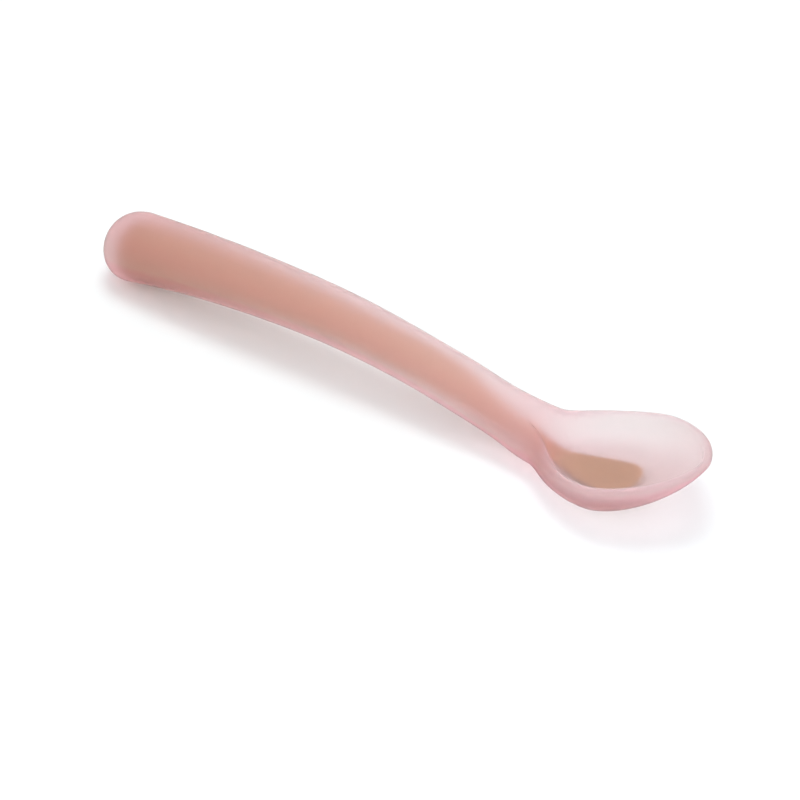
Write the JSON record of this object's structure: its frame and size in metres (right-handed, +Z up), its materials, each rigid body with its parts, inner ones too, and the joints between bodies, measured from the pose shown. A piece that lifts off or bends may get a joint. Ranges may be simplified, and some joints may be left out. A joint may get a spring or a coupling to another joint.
{
  "type": "baby feeding spoon",
  "caption": "Soft silicone baby spoon: a shallow egg-shaped bowl on a round arched handle, moulded over a stiff plastic core whose flat tongue supports the bowl's floor.",
  "frame": {"origin": "on the floor under the middle of the spoon's length and width, with the spoon lying on its handle end and the back of its bowl", "axes": "+X along the spoon towards the tip of the bowl, +Y across it, +Z up, with the bowl open upwards"},
  "size_m": [0.14, 0.0284, 0.0165],
  "materials": {
    "silicone": "translucent pale pink silicone with a satin, lightly frosted skin",
    "core_plastic": "opaque tan plastic, matt, seen only through the silicone"
  },
  "bodies": {
    "root": {"silicone_overmould": "silicone", "stiffening_core": "core_plastic"}
  },
  "joints": []
}
